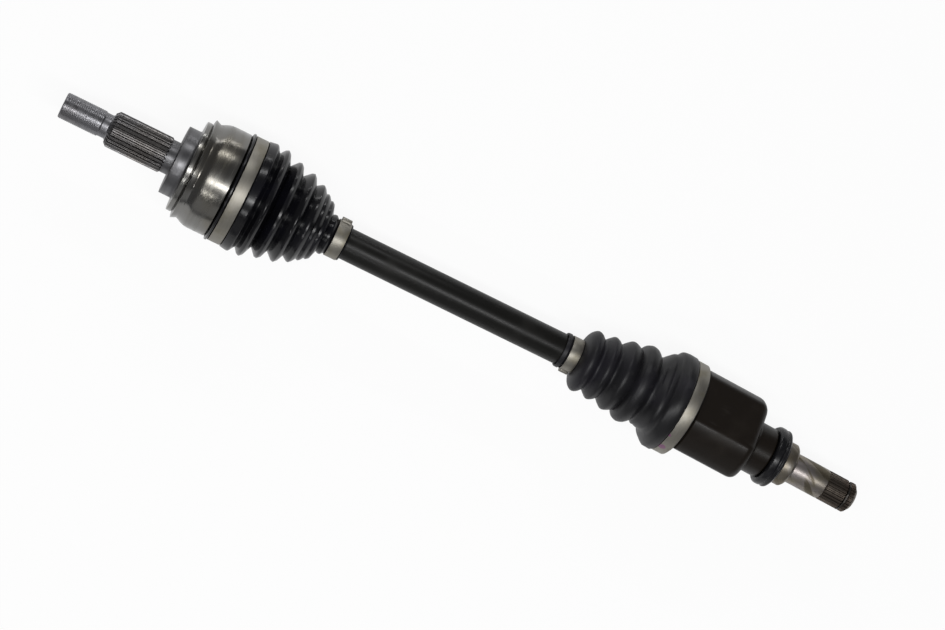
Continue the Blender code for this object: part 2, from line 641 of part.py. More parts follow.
def needle_ring(name, place):
    """A full set of needles, shoulder to shoulder round a trunnion."""
    outlines = []
    for sign in (1, -1):
        crest = NEEDLE_PITCH_RADIUS + sign * NEEDLE_RADIUS
        valley = NEEDLE_PITCH_RADIUS + sign * NEEDLE_RADIUS * 0.35
        angles = [math.pi * i / NEEDLE_COUNT for i in range(2 * NEEDLE_COUNT)]
        radii = [valley if i % 2 else crest for i in range(2 * NEEDLE_COUNT)]
        outlines.append([(radius * math.cos(a), radius * math.sin(a)) for a, radius in zip(angles, radii)])
    low, high = ROLLER_CENTRE - NEEDLE_LENGTH / 2, ROLLER_CENTRE + NEEDLE_LENGTH / 2
    ring = prism(name, outlines[0], [(low, 1.0), (high, 1.0)])
    bore = prism(f"{name} bore", outlines[1], [(low - 1.0, 1.0), (high + 1.0, 1.0)])
    ring.matrix_world = place
    bore.matrix_world = place
    cut(ring, bore)
    return ring


def rollers():
    """The barrel roller, needle set, washer and clip of each trunnion."""
    across = [k * ROLLER_HALF_WIDTH for k in (-1.0, -0.6, 0.0, 0.6, 1.0)]
    barrel = [(ROLLER_CENTRE + w, ROLLER_RADIUS - ROLLER_CROWN * (w / ROLLER_HALF_WIDTH) ** 2) for w in across]
    barrel += [(ROLLER_CENTRE + ROLLER_HALF_WIDTH, ROLLER_BORE), (ROLLER_CENTRE - ROLLER_HALF_WIDTH, ROLLER_BORE)]
    (start, end), (low, high) = WASHER, WASHER_RADII
    washer = [(start, low), (start, high), (end, high), (end, low)]
    for i, angle in enumerate(TRUNNION_ANGLES):
        place = trunnion_place(angle)
        roller = as_piece(turned(f"roller_{i + 1}", barrel, steps=SMALL_TURN_STEPS, ring=True), BEARING_STEEL)
        as_piece(needle_ring(f"needle_set_{i + 1}", place), BEARING_STEEL)
        washer_ring = turned(f"roller_washer_{i + 1}", washer, steps=SMALL_TURN_STEPS, ring=True)
        as_piece(washer_ring, HARDENED_STEEL)
        clip = snap_ring(f"roller_clip_{i + 1}", ROLLER_CLIP, ROLLER_CLIP_RADII, ROLLER_CLIP_GAP)
        as_piece(clip, SPRING_STEEL)
        for piece in (roller, washer_ring, clip):
            piece.matrix_world = place


def inner_boot():
    """Rubber boot with rounded convolutions and a round collar whose bore follows the housing's lobes."""
    small_end = [(77.1, 13.9), (77.9, 14.3), (82.6, 14.3), (84.1, 12.8), (93.4, 12.8), (93.8, 16.4), (95.2, 21.0)]
    waves = [
        (97.2, 23.9), (100.2, 25.6), (103.4, 24.6), (107.1, 21.7), (110.4, 24.2), (113.9, 26.7), (117.4, 25.6),
        (120.7, 23.5), (124.4, 26.6), (128.2, 29.3), (132.2, 28.4), (136.2, 26.2), (139.6, 30.9), (143.6, 32.7),
        (148.2, 31.3), (152.6, 28.1), (156.4, 30.2), (160.6, 32.8), (163.0, 33.5),
    ]
    collar = [
        (165.0, 35.4), (167.0, 37.8), (170.2, 39.3), (172.6, 40.1), (178.0, 40.1), (178.9, 39.4), (179.3, 37.9),
        (INNER_BOOT_END_X - 0.7, 37.9), (INNER_BOOT_END_X, 37.0),
    ]
    narrow = SEAT_FLAT - 1.4
    groove = BOOT_GROOVE_RADIUS + TURNING_GAP
    bore = [(INNER_BOOT_END_X, narrow), (169.0, narrow), (163.8, 29.4)]
    bore += boot_skin(waves[1:-2:2], BOOT_WALL)
    bore += [(96.6, 18.6), (95.2, 14.0), (94.2, 12.6), (93.2, groove), (84.6, groove), (83.6, 12.9), (77.1, 12.9)]
    boot = as_piece(turned("inner_boot", small_end + waves + collar + bore, ring=True), BOOT_RUBBER)
    lobes = lobed_outline(SEAT_LOBE + TURNING_GAP, SEAT_FLAT + TURNING_GAP)
    depth = [(HOUSING_MOUTH_X - TURNING_GAP, 1.0), (INNER_BOOT_END_X + 1.0, 1.0)]
    cut(boot, prism("collar bore", lobes, depth))
    return boot


def band_clamp(name, span, radius, buckle_form):
    """A crimped band clamp: a thin band with a raised buckle."""
    buckle_angle, buckle_radius, buckle_reach = buckle_form
    low, high = span[0] + BUCKLE_INSET, span[1] - BUCKLE_INSET
    outer = radius + BAND_THICKNESS
    disc = [(span[0], 0.0), (span[0], outer), (span[1], outer), (span[1], 0.0)]
    clamp = as_piece(turned(name, disc), STAINLESS_BAND)
    block = [(low, 0.0), (low, buckle_radius), (high, buckle_radius), (high, 0.0)]
    buckle = turned(f"{name} buckle", block, steps=BUCKLE_STEPS)
    out = Matrix.Rotation(math.radians(buckle_angle), 4, "X")
    buckle.matrix_world = out @ Matrix.Translation((0, (buckle_reach - buckle_radius) * MM, 0))
    fuse(clamp, buckle)
    bore = [(span[0] - 1, 0.0), (span[0] - 1, radius), (span[1] + 1, radius), (span[1] + 1, 0.0)]
    cut(clamp, turned(f"{name} bore", bore))
    return clamp


def dust_ring():
    """Rubber-coated ring that keeps dirt off the gearbox seal, with two ridges."""
    start, end = DUST_RING
    bore = DUST_SEAT_RADIUS + TURNING_GAP
    profile = [
        (start, bore), (start, 22.9), (start + 1.4, 24.2), (start + 2.8, DUST_RING_RADIUS), (start + 3.8, 23.6),
        (start + 5.2, DUST_RING_RADIUS), (start + 8.0, DUST_RING_RADIUS), (start + 10.4, 23.2), (end, 21.2),
        (end, bore),
    ]
    return as_piece(turned("dust_ring", profile, ring=True), BOOT_RUBBER)


def joint_empty(name, x):
    """An empty on a joint's axis, for the pieces that move about it."""
    empty = bpy.data.objects.new(name, None)
    empty.location = (x * MM, 0.0, 0.0)
    empty.empty_display_size = 0.03
    PIECES.objects.link(empty)
    return empty


def carry(empty, pieces):
    """Parent pieces to an empty without moving them."""
    bpy.context.view_layer.update()
    for piece in pieces:
        piece.parent = empty
        piece.matrix_parent_inverse = empty.matrix_world.inverted()


def bend_boot(boot):
    """Lean the inner boot from the shaft's axis at its small end to the housing's axis at its collar."""
    lean_start, lean_end = INNER_SMALL_BAND[1], HOUSING_MOUTH_X - 6.0
    lattice = bpy.data.lattices.new("inner boot lattice")
    lattice.points_u = BEND_STATIONS
    lattice.points_v = 2
    lattice.points_w = 2
    lattice.interpolation_type_u = "KEY_LINEAR"
    lattice.interpolation_type_v = "KEY_LINEAR"
    lattice.interpolation_type_w = "KEY_LINEAR"
    cage = as_cutter(bpy.data.objects.new("inner boot lattice", lattice))
    start, end = BEND_SPAN
    middle = (start + end) / 2
    step = (end - start) / (BEND_STATIONS - 1)
    width = 2.2 * HOUSING_LOBE
    cage.location = (middle * MM, 0.0, 0.0)
    cage.scale = (step * MM, width * MM, width * MM)
    for point in lattice.points:
        reach = middle + point.co.x * step - TRIPOD_X
        aside = point.co.y * width
        share = min(1.0, max(0.0, (reach + TRIPOD_X - lean_start) / (lean_end - lean_start)))
        angle = math.radians(REST_BEND) * share * share * (3 - 2 * share)
        x = TRIPOD_X + reach * math.cos(angle) - aside * math.sin(angle)
        y = reach * math.sin(angle) + aside * math.cos(angle)
        point.co_deform = ((x - middle) / step, y / width, point.co.z)
    boot.modifiers.new("rest bend", "LATTICE").object = cage


clear_scene()
PIECES = new_collection("cv_axle")
CUTTERS = new_collection("cutters")

bell = outer_race()
inner_race()
cage = ball_cage()
ball_set = balls()
intermediate_shaft()
wheel_boot = outer_boot()
wheel_band = band_clamp("outer_boot_large_clamp", OUTER_LARGE_BAND, OUTER_LARGE_BAND_RADIUS, OUTER_LARGE_BUCKLE)
band_clamp("outer_boot_small_clamp", OUTER_SMALL_BAND, OUTER_SMALL_BAND_RADIUS, OUTER_SMALL_BUCKLE)
spider()
rollers()
gearbox_boot = inner_boot()
housing = tripod_housing()
housing_band = band_clamp("inner_boot_large_clamp", INNER_LARGE_BAND, INNER_LARGE_BAND_RADIUS, INNER_LARGE_BUCKLE)
band_clamp("inner_boot_small_clamp", INNER_SMALL_BAND, INNER_SMALL_BAND_RADIUS, INNER_SMALL_BUCKLE)
seal_ring = dust_ring()
stub_clip_span = (STUB_GROOVE[0] + TURNING_GAP, STUB_GROOVE[1] - TURNING_GAP)
stub_ring = as_piece(snap_ring("stub_circlip", stub_clip_span, STUB_CLIP_RADII, STUB_CLIP_GAP), SPRING_STEEL)

cage_pivot = joint_empty("cage_pivot", BALL_JOINT_X)
bell_pivot = joint_empty("bell_pivot", BALL_JOINT_X)
housing_pivot = joint_empty("housing_pivot", TRIPOD_X)
carry(cage_pivot, [cage, *ball_set])
carry(bell_pivot, [bell, wheel_boot, wheel_band])
carry(housing_pivot, [housing, housing_band, seal_ring, stub_ring])
carry(housing_pivot, [tool for tool in CUTTERS.objects if tool.name.startswith(("housing", "gearbox"))])
carry(housing_pivot, [tool for tool in CUTTERS.objects if tool.name.startswith("inner_boot_large_clamp")])
housing_pivot.rotation_euler.z = math.radians(REST_BEND)
bend_boot(gearbox_boot)
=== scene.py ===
"""Looks of a car's CV axle, seen from above on white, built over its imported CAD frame.

Sections follow the order in which the axle is put together. The axle's sizes are in millimetres, and those of
the floor, lamps and camera in metres, as Blender's are. X runs along the bar from the threaded wheel end to
the gearbox end, and Z is up.
"""

import math

import bpy
from mathutils import Matrix, Vector


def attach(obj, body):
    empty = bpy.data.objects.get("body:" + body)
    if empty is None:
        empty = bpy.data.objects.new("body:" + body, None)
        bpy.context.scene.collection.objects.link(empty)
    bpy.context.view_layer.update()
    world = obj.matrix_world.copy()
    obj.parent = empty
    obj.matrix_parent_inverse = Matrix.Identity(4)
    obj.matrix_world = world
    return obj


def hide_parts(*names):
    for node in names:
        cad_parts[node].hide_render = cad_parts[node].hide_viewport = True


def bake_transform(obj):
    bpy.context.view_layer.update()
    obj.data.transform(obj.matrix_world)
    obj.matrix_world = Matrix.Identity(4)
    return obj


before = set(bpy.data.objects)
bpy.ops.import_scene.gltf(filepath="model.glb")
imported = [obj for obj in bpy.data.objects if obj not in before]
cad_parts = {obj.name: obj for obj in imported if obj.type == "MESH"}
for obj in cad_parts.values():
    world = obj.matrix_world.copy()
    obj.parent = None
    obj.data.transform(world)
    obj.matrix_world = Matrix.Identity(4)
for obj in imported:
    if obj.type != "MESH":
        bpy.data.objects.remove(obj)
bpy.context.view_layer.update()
MM = 0.001


# ---- Intermediate shaft ------------------------------------------------------------------------------------
# The bar is turned from solid steel, necked inside the boots, grooved under their small ends and splined at
# both ends, then painted satin black. The paint has a faint orange peel, pale dust and a few scuffs.

SHAFT_RADIUS = 12.6
SHAFT_NECK_RADIUS = 10.5
SHAFT_RIM_RADIUS = 12.2
BOOT_GROOVE_RADIUS = 11.2
CIRCLIP_GROOVE_RADIUS = 9.7
SHAFT_SPLINE_ROOT = 11.0
SHAFT_SPLINE_TIP = 12.0
COLLAPSED_EDGE = 0.002


class Reading:
    """One output of a material's nodes; arithmetic on it adds Math nodes."""

    def __init__(self, finish, socket):
        self.finish = finish
        self.socket = socket

    def maths(self, operation, left, right):
        return self.finish.node("ShaderNodeMath", {"operation": operation}, {0: left, 1: right})

    def __add__(self, other):
        return self.maths("ADD", self, other)

    def __sub__(self, other):
        return self.maths("SUBTRACT", self, other)

    def __rsub__(self, other):
        return self.maths("SUBTRACT", other, self)

    def __mul__(self, other):
        return self.maths("MULTIPLY", self, other)

    __radd__ = __add__
    __rmul__ = __mul__


class Finish:
    """A material with one Principled shader, whose patterns read the piece's own coordinates."""

    def __init__(self, name, **sockets):
        self.material = bpy.data.materials.new(name)
        self.material.use_nodes = True
        self.tree = self.material.node_tree
        self.shader = self.tree.nodes["Principled BSDF"]
        self.place = self.node("ShaderNodeTexCoord", out="Object")
        self.wear(**sockets)

    def put(self, socket, value):
        """Link a reading to a socket, or set the socket's own value."""
        if isinstance(value, Reading):
            self.tree.links.new(value.socket, socket)
        elif socket.type == "RGBA":
            socket.default_value = (*value, 1.0)
        else:
            socket.default_value = value

    def node(self, kind, settings=None, inputs=None, out=0):
        """Add a node: its settings come first, then its sockets' values or links."""
        made = self.tree.nodes.new(kind)
        for name, value in (settings or {}).items():
            setattr(made, name, value)
        for name, value in (inputs or {}).items():
            self.put(made.inputs[name], value)
        return Reading(self, made.outputs[out])

    def wear(self, **sockets):
        """Feed the shader's own sockets, whose names have _ for a space."""
        for name, value in sockets.items():
            self.put(self.shader.inputs[name.replace("_", " ")], value)
        return self.material

    def noise(self, scale, stretch=(1.0, 1.0, 1.0), detail=3.0, place=None):
        """Noise with features of about 1/scale metres, drawn out along the axes whose stretch is below 1."""
        mapped = self.node("ShaderNodeMapping", None, {"Vector": place or self.place, "Scale": stretch})
        return self.node("ShaderNodeTexNoise", None, {"Vector": mapped, "Scale": scale, "Detail": detail})

    def band(self, value, low, high):
        """0 below low, 1 above high, and smooth between."""
        limits = {"Value": value, "From Min": low, "From Max": high}
        return self.node("ShaderNodeMapRange", {"interpolation_type": "SMOOTHSTEP"}, limits, out="Result")

    def mix(self, share, first, second):
        """Mix two colours, or readings of colours."""
        colours = {"Factor": share, 6: first, 7: second}
        return self.node("ShaderNodeMix", {"data_type": "RGBA"}, colours, out=2)

    def relief(self, height, depth, strength):
        """Bump of so many metres."""
        return self.node("ShaderNodeBump", None, {"Height": height, "Distance": depth, "Strength": strength})


PAINT_ROUGHNESS = 0.34
SCUFF_COLOUR = (0.05, 0.047, 0.042)


def painted_black(name, base, dusty):
    """Satin black paint with orange peel, a breath of dust and small scuffs."""
    paint = Finish(name, Specular_IOR_Level=0.22)
    dust = paint.band(paint.noise(38, detail=6.0), 0.50, 0.80)
    scuffs = paint.band(paint.noise(160, (0.25, 1.0, 1.0), 8.0), 0.64, 0.74)
    colour = paint.mix(dust * 0.35, base, dusty)
    colour = paint.mix(scuffs * 0.2, colour, SCUFF_COLOUR)
    rough = dust * 0.12 + scuffs * 0.08 + PAINT_ROUGHNESS
    peel = paint.relief(paint.noise(900, detail=2.0), 0.06 * MM, 0.3)
    return paint.wear(Base_Color=colour, Roughness=rough, Normal=peel)


BLACK_PAINT = painted_black("black_paint", (0.006, 0.0058, 0.005), (0.018, 0.017, 0.015))


def select_only(*pieces):
    """Select these pieces, the first of them active."""
    bpy.ops.object.select_all(action="DESELECT")
    for piece in pieces:
        piece.select_set(True)
    bpy.context.view_layer.objects.active = pieces[0]


def begin(name):
    """Name the primitive just added and open it with everything selected."""
    piece = bpy.context.object
    piece.name = name
    bpy.ops.object.mode_set(mode="EDIT")
    bpy.ops.mesh.select_all(action="SELECT")
    return piece


def end(piece, merge=0.004):
    """Merge doubled points, turn the faces outwards and put the piece's place into its mesh."""
    bpy.ops.mesh.select_all(action="SELECT")
    bpy.ops.mesh.remove_doubles(threshold=merge * MM)
    bpy.ops.mesh.normals_make_consistent(inside=False)
    bpy.ops.object.mode_set(mode="OBJECT")
    select_only(piece)
    bpy.ops.object.transform_apply(location=True, rotation=True, scale=True)
    return piece


def drawn(name, profile):
    """Draw a profile, (x, radius), above the axis by extruding one point from place to place."""
    x, radius = profile[0]
    bpy.ops.object.select_all(action="DESELECT")
    bpy.ops.mesh.primitive_plane_add(size=MM, location=(x * MM, 0.0, radius * MM))
    piece = begin(name)
    bpy.ops.mesh.merge(type="CENTER")
    for next_x, next_radius in profile[1:]:
        step = ((next_x - x) * MM, 0.0, (next_radius - radius) * MM)
        bpy.ops.mesh.extrude_region_move(TRANSFORM_OT_translate={"value": step})
        x, radius = next_x, next_radius
    bpy.ops.mesh.select_all(action="SELECT")
    return piece


def turned(name, profile, steps=128):
    """Turn a profile right round X."""
    piece = drawn(name, profile)
    bpy.ops.mesh.spin(steps=steps, angle=math.tau, center=(0.0, 0.0, 0.0), axis=(1.0, 0.0, 0.0))
    return end(piece)


def applied(piece, kind, **settings):
    """Add a modifier with its settings and apply it."""
    modifier = piece.modifiers.new(kind.lower(), kind)
    for name, value in settings.items():
        setattr(modifier, name, value)
    select_only(piece)
    bpy.ops.object.modifier_apply(modifier=modifier.name)
    return piece


def softened(piece, width, segments=2, angle=24.0):
    """Round the edges that turn by more than an angle."""
    return applied(
        piece, "BEVEL", width=width * MM, segments=segments, angle_limit=math.radians(angle),
        use_clamp_overlap=True,
    )


def shaded(piece, material, angle=32.0):
    """Clear the piece of collapsed faces, smooth it up to an angle and give it its material."""
    select_only(piece)
    bpy.ops.object.mode_set(mode="EDIT")
    bpy.ops.mesh.select_all(action="SELECT")
    bpy.ops.mesh.dissolve_degenerate(threshold=COLLAPSED_EDGE * MM)
    bpy.ops.object.mode_set(mode="OBJECT")
    bpy.ops.object.shade_smooth_by_angle(angle=math.radians(angle))
    piece.data.materials.clear()
    piece.data.materials.append(material)
    return piece


def pull(end_x, length, scale):
    """Extrude the selected end along X and resize it there."""
    bpy.ops.mesh.extrude_region_move(TRANSFORM_OT_translate={"value": (length * MM, 0.0, 0.0)})
    bpy.ops.transform.resize(value=(1.0, scale, scale), center_override=(end_x * MM, 0.0, 0.0))


def barred(name, stations, count, reach):
    """A bar with the section that reach(angle from +Y, index) gives, pulled through stations, (x, scale)."""
    x, scale = stations[0]
    bpy.ops.object.select_all(action="DESELECT")
    bpy.ops.mesh.primitive_circle_add(
        vertices=count, radius=MM, fill_type="NGON", location=(x * MM, 0.0, 0.0),
        rotation=(0.0, math.pi / 2, 0.0),
    )
    piece = bpy.context.object
    bpy.ops.object.transform_apply(location=True, rotation=True, scale=True)
    for i, vertex in enumerate(piece.data.vertices):
        angle = math.atan2(vertex.co.z, vertex.co.y)
        radius = reach(angle, i) * scale * MM
        vertex.co.y = radius * math.cos(angle)
        vertex.co.z = radius * math.sin(angle)
    begin(name)
    for next_x, next_scale in stations[1:]:
        pull(next_x, next_x - x, next_scale / scale)
        x, scale = next_x, next_scale
    return end(piece)


def splined(name, span, teeth, root, tip, front=0.8, rear=0.8):
    """A bar of spline teeth, chamfered by front and rear: six points a tooth, three of them at the root."""
    start, finish = span
    stations = [
        (start, 1 - front / tip), (start + front, 1.0), (finish - rear, 1.0), (finish, 1 - rear / tip)
    ]
    return barred(name, stations, 6 * teeth, lambda angle, i: root if i % 6 < 3 else tip)


shaft = turned("painted_bar", [
    (-218.8, 0.0), (-218.8, 9.6), (-217.9, 10.5), (-216.4, 10.5), (-216.4, CIRCLIP_GROOVE_RADIUS),
    (-214.7, CIRCLIP_GROOVE_RADIUS), (-214.7, 10.6), (-192.3, 10.6), (-192.3, 13.2), (-190.0, 13.2),
    (-186.0, SHAFT_NECK_RADIUS), (-122.6, SHAFT_NECK_RADIUS), (-120.2, SHAFT_RIM_RADIUS),
    (-119.0, SHAFT_RIM_RADIUS), (-118.2, BOOT_GROOVE_RADIUS), (-110.5, BOOT_GROOVE_RADIUS),
    (-109.7, SHAFT_RADIUS), (83.4, SHAFT_RADIUS), (84.2, BOOT_GROOVE_RADIUS), (93.6, BOOT_GROOVE_RADIUS),
    (94.4, SHAFT_RIM_RADIUS), (95.6, SHAFT_RIM_RADIUS), (98.4, SHAFT_NECK_RADIUS), (170.4, SHAFT_NECK_RADIUS),
    (173.8, 13.0), (176.1, 13.0), (176.1, 10.6), (200.5, 10.6), (200.5, CIRCLIP_GROOVE_RADIUS),
    (202.2, CIRCLIP_GROOVE_RADIUS), (202.2, 10.5), (203.8, 10.5), (204.6, 9.6), (204.6, 0.0),
])
shaded(softened(shaft, 0.3), BLACK_PAINT)
race_spline = splined("race_spline", (-214.7, -192.0), 20, SHAFT_SPLINE_ROOT, SHAFT_SPLINE_TIP)
spider_spline = splined("spider_spline", (175.8, 200.5), 20, SHAFT_SPLINE_ROOT, SHAFT_SPLINE_TIP)
for spline in (race_spline, spider_spline):
    shaded(spline, BLACK_PAINT)
for piece in (shaft, race_spline, spider_spline):
    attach(piece, "shaft")
    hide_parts("intermediate_shaft")


# ---- Race, cage, balls and circlip -------------------------------------------------------------------------
# Inside the bell, six polished balls run between the race, which is splined to the bar, and the bell. The
# cage is case-hardened and dark. The bell and the boot hide them, so they keep their frame shapes.

def bright_steel(name, colour, roughness):
    """Steel with a fine grain and a faint oily bloom."""
    steel = Finish(name, Metallic=1.0)
    bloom = steel.band(steel.noise(60, detail=5.0), 0.35, 0.75)
    dulled = tuple(0.72 * c for c in colour)
    grain = steel.relief(steel.noise(420, detail=2.0), 0.02 * MM, 0.3)
    return steel.wear(
        Base_Color=steel.mix(bloom, colour, dulled), Roughness=bloom * 0.08 + roughness, Normal=grain
    )


BEARING_STEEL = bright_steel("bearing_steel", (0.45, 0.46, 0.47), 0.18)
HARDENED_STEEL = bright_steel("hardened_steel", (0.26, 0.25, 0.24), 0.36)
SPRING_STEEL = bright_steel("spring_steel", (0.20, 0.20, 0.21), 0.34)


def dress(names, material):
    """Give frame nodes that stay as they are their material."""
    for name in names:
        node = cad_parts[name]
        node.data.materials.clear()
        node.data.materials.append(material)


dress([f"ball_{i}" for i in range(1, 7)] + ["inner_race"], BEARING_STEEL)
dress(["ball_cage"], HARDENED_STEEL)
dress(["inner_race_circlip", "spider_circlip"] + [f"roller_clip_{i}" for i in range(1, 4)], SPRING_STEEL)


# ---- Outer race --------------------------------------------------------------------------------------------
# The stub axle and its bell are one forging. The bell is ground bright in rings, with olive and brown heat
# stains, and is hollow, with six ball tracks. The bearing shoulder, spline and thread are greyer and duller.

JOINT_X = -203.6
BELL_RADIUS = 42.2
BOOT_SEAT_RADIUS = 39.6
BELL_SPHERE = 31.9
BALL_PITCH = 28.5
TRACK_RADIUS = 9.2
TRACK_START = -36.0
TRACK_SWEEP = 92.0
THREAD_PITCH = 1.5
THREAD_TURNS = 19
THREAD_ROOT = 10.1
THREAD_CREST = 10.35


def ground_steel(name, pale, stain, tint, roughness, rings=1.0):
    """Ground steel: fine rings round X, stains that follow the rings, and soft blotches of tint."""
    steel = Finish(name, Metallic=1.0)
    scratch = steel.noise(3000, (1.0, 0.02, 0.02), 4.0)
    courses = steel.band(steel.noise(260, (1.0, 0.06, 0.06), 5.0), 0.32, 0.72)
    blotch = steel.band(steel.noise(34, (1.0, 0.6, 0.6), 4.0), 0.45, 0.70)
    colour = steel.mix(courses * 0.35, pale, stain)
    colour = steel.mix(blotch * 0.55, colour, tint)
    rough = courses * 0.14 + scratch * 0.06 + roughness
    grooves = steel.relief(scratch, 0.02 * MM, 0.35 * rings)
    return steel.wear(Base_Color=colour, Roughness=rough, Normal=grooves)


BELL_STEEL = ground_steel(
    "ground_steel", (0.205, 0.202, 0.195), (0.14, 0.136, 0.117), (0.155, 0.138, 0.103), roughness=0.12
)
SHOULDER_STEEL = ground_steel(
    "shoulder_steel", (0.14, 0.14, 0.145), (0.08, 0.078, 0.08), (0.06, 0.058, 0.06), roughness=0.30
)
SPLINE_STEEL = ground_steel(
    "spline_steel", (0.125, 0.123, 0.125), (0.085, 0.08, 0.085), (0.10, 0.09, 0.08), roughness=0.30
)
THREAD_STEEL = ground_steel(
    "thread_steel", (0.20, 0.20, 0.21), (0.14, 0.14, 0.15), (0.15, 0.14, 0.14), roughness=0.28, rings=0.1
)

bell = turned("bell", [
    (-241.4, 0.0), (-241.4, 28.0), (-240.9, 28.6), (-240.6, 36.6), (-236.9, 36.6), (-236.4, 35.6),
    (-235.2, 40.7), (-230.8, 38.7), (-227.4, 40.4), (-225.0, 41.4), (-222.4, 42.0), (-219.4, BELL_RADIUS),
    (-206.9, BELL_RADIUS), (-206.3, BOOT_SEAT_RADIUS), (-188.4, BOOT_SEAT_RADIUS), (-187.6, 38.8),
    (-187.6, 33.2), (-191.6, 29.5), (-191.6, 0.0),
], steps=144)
softened(bell, 0.45, segments=3)

bpy.ops.object.select_all(action="DESELECT")
bpy.ops.mesh.primitive_uv_sphere_add(
    segments=96, ring_count=48, radius=BELL_SPHERE * MM, location=(JOINT_X * MM, 0.0, 0.0)
)
hollow = end(begin("hollow"))


def track(index):
    """The round groove that one ball rolls along, as a closed rod bent about the joint's centre."""
    centre = (JOINT_X * MM, 0.0, 0.0)
    bpy.ops.object.select_all(action="DESELECT")
    bpy.ops.mesh.primitive_circle_add(
        vertices=40, radius=TRACK_RADIUS * MM, location=(JOINT_X * MM, 0.0, BALL_PITCH * MM),
        rotation=(0.0, math.pi / 2, 0.0),
    )
    rod = begin(f"track_{index}")
    bpy.ops.transform.rotate(value=math.radians(TRACK_START), orient_axis="Y", center_override=centre)
    bpy.ops.mesh.spin(steps=18, angle=math.radians(TRACK_SWEEP), center=centre, axis=(0.0, 1.0, 0.0))
    bpy.ops.mesh.select_all(action="SELECT")
    bpy.ops.mesh.fill_holes(sides=0)
    bpy.ops.transform.rotate(value=index * math.tau / 6, orient_axis="X", center_override=centre)
    return end(rod)


def carved(piece, tools, operation="DIFFERENCE"):
    """Cut the tools out of the piece, or fuse them with it, and delete them."""
    for tool in tools:
        applied(piece, "BOOLEAN", operation=operation, solver="EXACT", object=tool)
        bpy.data.objects.remove(tool)
    return piece


carved(bell, [hollow] + [track(i) for i in range(6)])
shaded(bell, BELL_STEEL)

thread = drawn("thread", [
    (-341.9, THREAD_ROOT), (-341.35, THREAD_CREST), (-341.15, THREAD_CREST), (-340.6, THREAD_ROOT),
    (-340.4, THREAD_ROOT),
])
bpy.ops.object.mode_set(mode="OBJECT")
select_only(thread)
bpy.ops.object.transform_apply(location=True, rotation=True, scale=True)
applied(
    thread, "SCREW", axis="X", angle=math.tau, screw_offset=THREAD_PITCH * MM, iterations=THREAD_TURNS,
    steps=72, render_steps=72, use_merge_vertices=True, merge_threshold=0.000005, use_normal_calculate=True,
)
bpy.ops.object.mode_set(mode="EDIT")
bpy.ops.mesh.select_all(action="SELECT")
bpy.ops.mesh.remove_doubles(threshold=0.01 * MM)
bpy.ops.mesh.fill_holes(sides=0)
shaded(end(thread), THREAD_STEEL, angle=60)

thread_core = turned("thread_core", [
    (-342.9, 0.0), (-342.9, 9.4), (-342.1, 10.2), (-341.5, 10.12), (-312.4, 10.12), (-311.6, 10.3),
    (-310.4, 9.5), (-305.4, 9.5), (-303.0, 11.8), (-262.0, 12.2), (-262.0, 0.0),
], steps=96)
shaded(softened(thread_core, 0.25), THREAD_STEEL)
wheel_spline = splined("wheel_spline", (-304.4, -256.2), teeth=27, root=12.9, tip=14.4, front=2.6, rear=2.4)
shaded(softened(wheel_spline, 0.12, segments=1, angle=40), SPLINE_STEEL, angle=20)
bearing_shoulder = turned("bearing_shoulder", [
    (-259.0, 0.0), (-259.0, 13.2), (-251.2, 13.2), (-251.2, 27.4), (-242.2, 27.4), (-241.0, 28.2),
    (-241.0, 0.0),
], steps=144)
shaded(softened(bearing_shoulder, 0.45, segments=3), SHOULDER_STEEL)
for piece in (bell, bearing_shoulder, thread, thread_core, wheel_spline):
    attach(piece, "bell")
    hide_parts("outer_race")


# ---- Outer boot --------------------------------------------------------------------------------------------
# The boot is blow-moulded from glossy black thermoplastic, thin and springy, with sharp convolutions that
# shrink towards the bar. It is modelled as two lengths that meet in a valley.

BOOT_VALLEY = (-170.6, 33.9)


def walled(piece, wall):
    """Give an open skin its wall, inwards."""
    return applied(piece, "SOLIDIFY", thickness=wall * MM, offset=-1.0, use_even_offset=False)


def boot_plastic():
    """Glossy thermoplastic: a soft mould texture, dull bloom in places and a trace of brown dust."""
    plastic = Finish("boot_plastic", Specular_IOR_Level=0.34)
    bloom = plastic.band(plastic.noise(44, detail=5.0), 0.42, 0.72)
    dust = plastic.band(plastic.noise(300, detail=8.0), 0.60, 0.78)
    colour = plastic.mix(bloom * 0.5, (0.0025, 0.0025, 0.0035), (0.005, 0.005, 0.009))
    colour = plastic.mix(dust * 0.12, colour, (0.040, 0.036, 0.034))
    rough = bloom * 0.06 + dust * 0.1 + 0.20
    mould = plastic.relief(plastic.noise(500, detail=3.0), 0.04 * MM, 0.25)
    return plastic.wear(Base_Color=colour, Roughness=rough, Normal=mould)


BOOT_PLASTIC = boot_plastic()

wheel_boot_collar = turned("wheel_boot_collar", [
    (-205.9, 42.3), (-205.1, 44.2), (-203.8, 44.2), (-203.1, 42.2), (-192.7, 42.2), (-192.1, 43.9),
    (-186.5, 44.8), (-185.4, 44.5), (-184.7, 43.7), (-183.2, 41.2), (-181.7, 39.2), (-178.6, 43.3),
    (-176.4, 44.4), (-174.2, 42.4), BOOT_VALLEY,
], steps=144)
softened(walled(wheel_boot_collar, 1.7), 0.7, segments=3)
wheel_boot = turned("wheel_boot", [
    BOOT_VALLEY, (-165.4, 39.7), (-163.4, 40.1), (-161.2, 38.0), (-158.5, 31.4), (-153.0, 36.5),
    (-151.0, 37.2), (-148.8, 35.0), (-146.2, 29.5), (-142.2, 32.2), (-140.6, 32.5), (-138.6, 30.7),
    (-136.4, 27.3), (-134.6, 28.0), (-133.2, 26.9), (-131.2, 24.2), (-129.6, 24.5), (-127.7, 23.0),
    (-125.1, 15.5), (-123.2, 16.4), (-121.7, 16.4), (-120.4, 15.1), (-118.9, 14.1), (-108.6, 14.1),
    (-108.3, 14.9), (-107.4, 14.5),
], steps=144)
